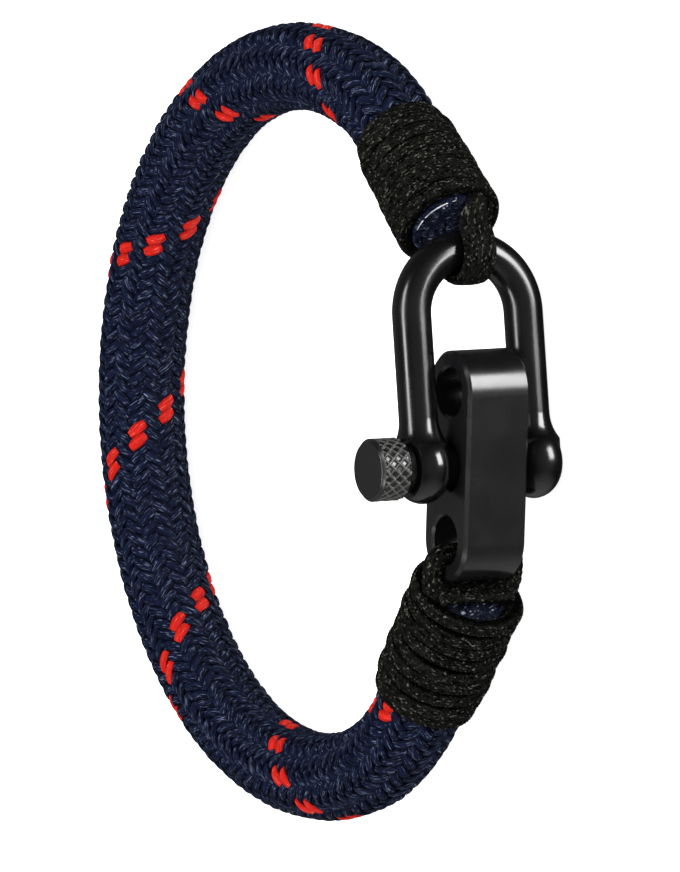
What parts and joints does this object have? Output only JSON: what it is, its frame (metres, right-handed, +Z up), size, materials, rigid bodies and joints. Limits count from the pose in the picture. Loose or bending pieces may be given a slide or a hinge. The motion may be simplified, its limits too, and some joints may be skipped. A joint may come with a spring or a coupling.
{
  "type": "paracord bracelet",
  "caption": "Braided rope bracelet whose whipped ends meet in a closure: a bow shackle with a screw pin through an adjuster bar with a row of holes. Worn round a wrist.",
  "frame": {"origin": "on the floor, below the middle of the bracelet's bounding box", "axes": "+Z up, close to the wrist's axis; -Y towards the closure; +X towards the whipping that holds the shackle's bow. The bracelet lies on its side as it rests by itself, on the far side of the rope and on the lower ear, so the closure's side is raised by about 3.7 degrees"},
  "size_m": [0.0826, 0.0808, 0.022],
  "materials": {
    "rope_braid": "braided synthetic yarn, navy with red flecks, soft sheen",
    "whipping_cord": "thin braided cord, black, waxy sheen",
    "bar_metal": "satin black coating on steel",
    "shackle_metal": "glossy black coating on steel",
    "pin_metal": "black coating on steel, knurled head"
  },
  "bodies": {
    "bracelet": {"rope": "rope_braid", "whipping_upper": "whipping_cord", "whipping_lower": "whipping_cord", "cord_loop_upper": "whipping_cord", "cord_loop_lower": "whipping_cord", "adjuster_bar": "bar_metal", "shackle": "shackle_metal"},
    "pin": {"screw_pin": "pin_metal"}
  },
  "joints": [
    {"name": "pin_draw", "type": "slide", "parent": "bracelet", "child": "pin", "axis": [0.0282, 0.0578, 0.9979], "range_m": [0, 0.02]}
  ]
}
